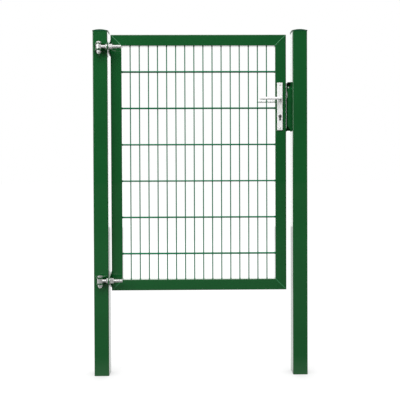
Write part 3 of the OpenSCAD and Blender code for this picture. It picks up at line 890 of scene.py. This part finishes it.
class GATE_OT_mesh_welds(bpy.types.Operator):
    """Add the welds where wires cross and where they meet the frame"""

    bl_idname = "gate.mesh_welds"
    bl_label = "Mesh welds"

    nugget: bpy.props.FloatProperty(
        name="Nugget", description="Radius of the weld where two wires cross",
        unit="LENGTH", default=0.0044)
    collar_share: bpy.props.FloatProperty(
        name="Collar share", description="Radius of the weld round a wire's end as a share of the wire",
        subtype="FACTOR", default=0.75)

    def execute(self, context):
        detail = context.scene.gate_detail
        low, high, uprights, crossings, first = mesh_layout()
        contact = detail.upright_wire / 2
        upright_collar = detail.upright_wire * self.collar_share
        cross_collar = detail.cross_wire * self.collar_share
        nuggets = self.patch(self.nugget, (first.x, first.y - contact, first.z), (
            (uprights, (detail.mesh_pitch_x, 0, 0)), (crossings, (0, 0, detail.mesh_pitch_z)),
            (2, (0, 2 * contact, 0))), "mesh_cross_welds")
        coat = material("green_wire_coat")
        finish_piece(nuggets, "leaf", coat, WELD_ANGLE)
        ends = [
            self.patch(upright_collar, (first.x, first.y, low.z), (
                (uprights, (detail.mesh_pitch_x, 0, 0)), (2, (0, 0, high.z - low.z))), "upright_ends"),
            self.patch(cross_collar, (low.x, low.y + detail.cross_wire / 2, first.z), (
                (crossings, (0, 0, detail.mesh_pitch_z)), (2, (high.x - low.x, 0, 0)),
                (2, (0, high.y - low.y - detail.cross_wire, 0))), "cross_ends")]
        finish_piece(joined(ends, "mesh_end_welds"), "leaf", coat, WELD_ANGLE)
        return {"FINISHED"}

    def patch(self, radius, place, repeats, name):
        """One rounded weld, repeated along several directions."""
        clear_selection()
        bpy.ops.mesh.primitive_ico_sphere_add(subdivisions=SPOT_LEVELS, radius=radius)
        spot = bpy.context.active_object
        in_edit(spot)
        bpy.ops.mesh.select_all(action="SELECT")
        bpy.ops.mesh.vertices_smooth(factor=SPOT_SOFTNESS, repeat=1)
        bpy.ops.object.mode_set(mode="OBJECT")
        repeat_piece(spot, repeats)
        settle(spot, Vector(place), UP, UP)
        spot.name = name
        return spot


class GATE_OT_bolt_threads(bpy.types.Operator):
    """Add the threads of the eye bolts"""

    bl_idname = "gate.bolt_threads"
    bl_label = "Bolt threads"

    neck: bpy.props.FloatProperty(
        name="Neck", description="Plain length between an eye and its thread",
        unit="LENGTH", default=0.003)

    def execute(self, context):
        zinc = material("bright_zinc")
        for level in ("upper", "lower"):
            bolt_low, bolt_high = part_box(level + "_eye_bolt")
            washer_low, washer_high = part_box(level + "_washer")
            nuts_low, nuts_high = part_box(level + "_adjusting_nuts")
            axis_y = (washer_low.y + washer_high.y) / 2
            axis_z = (washer_low.z + washer_high.z) / 2
            eye_radius = axis_y - bolt_low.y
            shank_radius = context.scene.gate_detail.shank / 2
            outer = helix_thread(Vector((nuts_high.x, axis_y, axis_z)), RIGHT,
                                 bolt_high.x - nuts_high.x, shank_radius)
            inner_start = eye_radius + self.neck
            inner = helix_thread(Vector((inner_start, axis_y, axis_z)), RIGHT,
                                 nuts_low.x - inner_start, shank_radius)
            finish_piece(joined([outer, inner], level + "_shank_thread"), "leaf", zinc)
        return {"FINISHED"}


class GATE_OT_lock_screws(bpy.types.Operator):
    """Screw the lock plates, the face plate and the keeper"""

    bl_idname = "gate.lock_screws"
    bl_label = "Lock screws"

    screw_inset: bpy.props.FloatProperty(
        name="Screw inset", description="Distance of a screw from the end of its plate",
        unit="LENGTH", default=0.0125)
    keeper_inset: bpy.props.FloatProperty(
        name="Keeper inset", description="Distance of the keeper's screw from the post",
        unit="LENGTH", default=0.0145)
    keeper_share: bpy.props.FloatProperty(
        name="Keeper share", description="Size of the keeper's screw as a share of the others",
        subtype="FACTOR", default=0.7)
    keeper_drop: bpy.props.FloatProperty(
        name="Keeper drop", description="Distance of the keeper's screw below the keeper's top",
        unit="LENGTH", default=0.030)

    def execute(self, context):
        head = context.scene.gate_detail.screw_head
        zinc = material("bright_zinc")
        for side, outward in (("front", FRONT), ("rear", -FRONT)):
            low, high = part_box(side + "_lock_plate")
            face = low.y if side == "front" else high.y
            screws = self.end_screws(low, high, (low.x + high.x) / 2, face, outward)
            finish_piece(joined(screws, side + "_plate_screws"), "leaf", zinc)
        low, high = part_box("lock_faceplate")
        screws = self.end_screws(low, high, high.x, (low.y + high.y) / 2, RIGHT)
        finish_piece(joined(screws, "face_plate_screws"), "leaf", material("plain_steel"))
        low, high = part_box("keeper")
        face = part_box("latch_post")[0].x
        place = Vector((face - self.keeper_inset, low.y, high.z - self.keeper_drop))
        screw = cross_screw(place, FRONT, head * self.keeper_share)
        finish_piece(joined([screw], "keeper_screw"), "posts", zinc)
        return {"FINISHED"}

    def end_screws(self, low, high, x, y, outward):
        """A screw near each end of an upright plate."""
        head = bpy.context.scene.gate_detail.screw_head
        levels = (low.z + self.screw_inset, high.z - self.screw_inset)
        return [cross_screw(Vector((x, y, z)), outward, head) for z in levels]


class GATE_OT_lock_ends(bpy.types.Operator):
    """Fit the turning plugs in the cylinder's ends and the grub screws under the lever collars"""

    bl_idname = "gate.lock_ends"
    bl_label = "Lock plugs and grub screws"

    axis_up: bpy.props.FloatProperty(
        name="Axis height", description="Distance of the plug's axis below the cylinder's top",
        unit="LENGTH", default=0.0085)
    collar_middle: bpy.props.FloatProperty(
        name="Collar middle", description="Distance from a lock plate to the middle of a lever's collar",
        unit="LENGTH", default=0.0023)

    def execute(self, context):
        low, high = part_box("lock_cylinder")
        axis = Vector(((low.x + high.x) / 2, 0, high.z - self.axis_up))
        # Nickel darkened as painted shade on the cylinder's plugs
        nickel = material("nickel_with_painted_shade")
        lever_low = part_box("front_lever")[0]
        grub = context.scene.gate_detail.grub
        for side, end, outward, key_side in (("front", low.y, FRONT, -1), ("rear", high.y, -FRONT, 1)):
            plug = cylinder_plug(axis + Vector((0, end, 0)), outward, key_side)
            finish_piece(joined([plug], side + "_cylinder_plug"), "leaf", nickel)
            plate_low, plate_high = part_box(side + "_lock_plate")
            face = plate_low.y if side == "front" else plate_high.y
            under = Vector((axis.x, face + outward.y * self.collar_middle, lever_low.z))
            screw = socket_screw(under, DOWN, grub)
            finish_piece(joined([screw], side + "_grub_screw"), "handle", material("plain_steel"))
        return {"FINISHED"}


class GATE_OT_stage(bpy.types.Operator):
    """Set the floor, the surroundings, the lamps and the camera"""

    bl_idname = "gate.stage"
    bl_label = "Stage"

    def execute(self, context):
        stage = context.scene.gate_stage
        self.floor()
        self.surroundings(stage)
        self.lamp("key_lamp", KEY_PLACE, KEY_SIZE, stage.key_power)
        self.lamp("fill_lamp", FILL_PLACE, FILL_SIZE, stage.fill_power)
        self.lamp("rear_lamp", REAR_PLACE, REAR_SIZE, stage.rear_power)
        self.lamp("back_lamp", BACK_PLACE, BACK_SIZE, stage.back_power)
        self.camera(stage)
        context.scene.view_settings.view_transform = "Standard"
        return {"FINISHED"}

    def seen_rays(self, tree, x, y):
        """One for camera, glossy and transmission rays."""
        path = node_of(tree, "ShaderNodeLightPath", x, y).outputs
        first = math_of(tree, "MAXIMUM", path["Is Camera Ray"], path["Is Glossy Ray"], x + 200, y)
        return math_of(tree, "MAXIMUM", first, path["Is Transmission Ray"], x + 400, y)

    def graded(self, tree, coordinates, fade, x, y):
        """White to the camera; to reflections greyer on the camera's side, at low Y of these coordinates."""
        place = node_of(tree, "ShaderNodeTexCoord", x - 400, y)
        split = node_of(tree, "ShaderNodeSeparateXYZ", x - 200, y)
        tree.links.new(place.outputs[coordinates], split.inputs["Vector"])
        ramp = range_of(tree, split.outputs["Y"], fade, (FRONT_WORLD, 1.0), x, y)
        path = node_of(tree, "ShaderNodeLightPath", x, y + 200)
        return math_of(tree, "MAXIMUM", path.outputs["Is Camera Ray"], ramp, x + 200, y)

    def floor(self):
        """Pale floor that stays white to the eye; it takes the lamps' shadow and has a painted shadow in its
        glow near the gate.
        """
        clear_selection()
        bpy.ops.mesh.primitive_circle_add(vertices=FLOOR_SIDES, radius=FLOOR_RADIUS, fill_type="NGON",
                                          location=(LAMP_TARGET.x, 0, -FLOOR_DROP))
        floor = bpy.context.active_object
        floor.name = "studio_floor"
        bpy.ops.object.transform_apply(location=True, rotation=False, scale=False)
        made = bpy.data.materials.new("pale_floor")
        made.use_nodes = True
        tree = made.node_tree
        tree.nodes.clear()
        seen = self.seen_rays(tree, -600, 200)
        matt = node_of(tree, "ShaderNodeBsdfDiffuse", -100, -100)
        set_inputs(matt, Color=(FLOOR_TONE, FLOOR_TONE, FLOOR_TONE, 1))
        glow = node_of(tree, "ShaderNodeEmission", -100, 200)
        graded = self.graded(tree, "Object", FLOOR_FADE, -600, 500)
        shown = math_of(tree, "MULTIPLY", seen, graded, -300, 400)
        level = math_of(tree, "MULTIPLY", shown, FLOOR_GLOW, -300, 600)
        # Painted shadow: occlusion dims the glow near the gate
        shadow = node_of(tree, "ShaderNodeAmbientOcclusion", -500, 800)
        set_inputs(shadow, Distance=SHADOW_REACH)
        open_share = range_of(tree, shadow.outputs["AO"], (0.0, 1.0), (SHADOW_LEAST, 1.0), -300, 800)
        dimmed = math_of(tree, "MULTIPLY", level, open_share, -100, 400)
        tree.links.new(dimmed, glow.inputs["Strength"])
        total = node_of(tree, "ShaderNodeAddShader", 150, 0)
        end = node_of(tree, "ShaderNodeOutputMaterial", 350, 0)
        tree.links.new(glow.outputs["Emission"], total.inputs[0])
        tree.links.new(matt.outputs["BSDF"], total.inputs[1])
        tree.links.new(total.outputs["Shader"], end.inputs["Surface"])
        floor.data.materials.append(made)
        clear_selection()

    def surroundings(self, stage):
        """White studio: bright behind the gate, greyer on the camera's side, even light all round."""
        world = bpy.data.worlds.new("studio")
        world.use_nodes = True
        tree = world.node_tree
        tree.nodes.clear()
        seen = self.seen_rays(tree, -600, 400)
        graded = self.graded(tree, "Generated", WORLD_FADE, -200, 100)
        sky = node_of(tree, "ShaderNodeBackground", 50, 100)
        tree.links.new(graded, sky.inputs["Color"])
        even = node_of(tree, "ShaderNodeBackground", 0, -100)
        set_inputs(even, Color=(1, 1, 1, 1), Strength=stage.ambient)
        mixed = node_of(tree, "ShaderNodeMixShader", 200, 0)
        end = node_of(tree, "ShaderNodeOutputWorld", 400, 0)
        tree.links.new(seen, mixed.inputs["Fac"])
        tree.links.new(even.outputs["Background"], mixed.inputs[1])
        tree.links.new(sky.outputs["Background"], mixed.inputs[2])
        tree.links.new(mixed.outputs["Shader"], end.inputs["Surface"])
        bpy.context.scene.world = world

    def lamp(self, name, place, size, power):
        """Square soft lamp aimed at the gate."""
        data = bpy.data.lights.new(name, "AREA")
        data.shape = "SQUARE"
        data.size = size
        data.energy = power
        obj = bpy.data.objects.new(name, data)
        obj.location = place
        obj.rotation_euler = (LAMP_TARGET - place).to_track_quat("-Z", "Y").to_euler()
        obj.visible_camera = False
        bpy.context.scene.collection.objects.link(obj)

    def camera(self, stage):
        """Camera at the photograph's angle."""
        data = bpy.data.cameras.new("eye")
        data.sensor_width = SENSOR_MM
        data.lens = stage.focal_px / IMAGE_PX * SENSOR_MM
        data.shift_y = stage.drop
        obj = bpy.data.objects.new("eye", data)
        aim = Euler((math.pi / 2 - stage.tilt, 0, -stage.swing)).to_matrix()
        turned = aim @ Matrix.Rotation(stage.roll, 3, "Z")
        obj.location = stage.eye
        obj.rotation_euler = turned.to_euler()
        bpy.context.scene.collection.objects.link(obj)
        bpy.context.scene.camera = obj


class GATE_PT_panel(bpy.types.Panel):
    """Sidebar panel with the gate's settings and steps"""

    bl_idname = "GATE_PT_panel"
    bl_label = "Swing gate"
    bl_space_type = "VIEW_3D"
    bl_region_type = "UI"
    bl_category = "Gate"

    def draw(self, context):
        column = self.layout.column()
        for settings in (context.scene.gate_finish, context.scene.gate_detail, context.scene.gate_stage):
            for name in settings.__annotations__:
                column.prop(settings, name)
        for step in STEPS:
            column.operator(step.bl_idname)


SETTINGS = (GateFinishSettings, GateDetailSettings, GateStageSettings)
STEPS = (GATE_OT_finishes, GATE_OT_corner_welds, GATE_OT_hinge_welds, GATE_OT_mesh_wires,
         GATE_OT_mesh_welds, GATE_OT_bolt_threads, GATE_OT_lock_screws, GATE_OT_lock_ends, GATE_OT_stage)
CLASSES = (*SETTINGS, *STEPS, GATE_PT_panel)


def register():
    for cls in CLASSES:
        bpy.utils.register_class(cls)
    bpy.types.Scene.gate_finish = bpy.props.PointerProperty(type=GateFinishSettings)
    bpy.types.Scene.gate_detail = bpy.props.PointerProperty(type=GateDetailSettings)
    bpy.types.Scene.gate_stage = bpy.props.PointerProperty(type=GateStageSettings)


def unregister():
    del bpy.types.Scene.gate_stage
    del bpy.types.Scene.gate_detail
    del bpy.types.Scene.gate_finish
    for cls in reversed(CLASSES):
        bpy.utils.unregister_class(cls)


def main():
    register()
    bpy.ops.gate.finishes()
    bpy.ops.gate.corner_welds()
    bpy.ops.gate.hinge_welds()
    bpy.ops.gate.mesh_wires()
    bpy.ops.gate.mesh_welds()
    bpy.ops.gate.bolt_threads()
    bpy.ops.gate.lock_screws()
    bpy.ops.gate.lock_ends()
    bpy.ops.gate.stage()


if __name__ == "__main__":
    main()
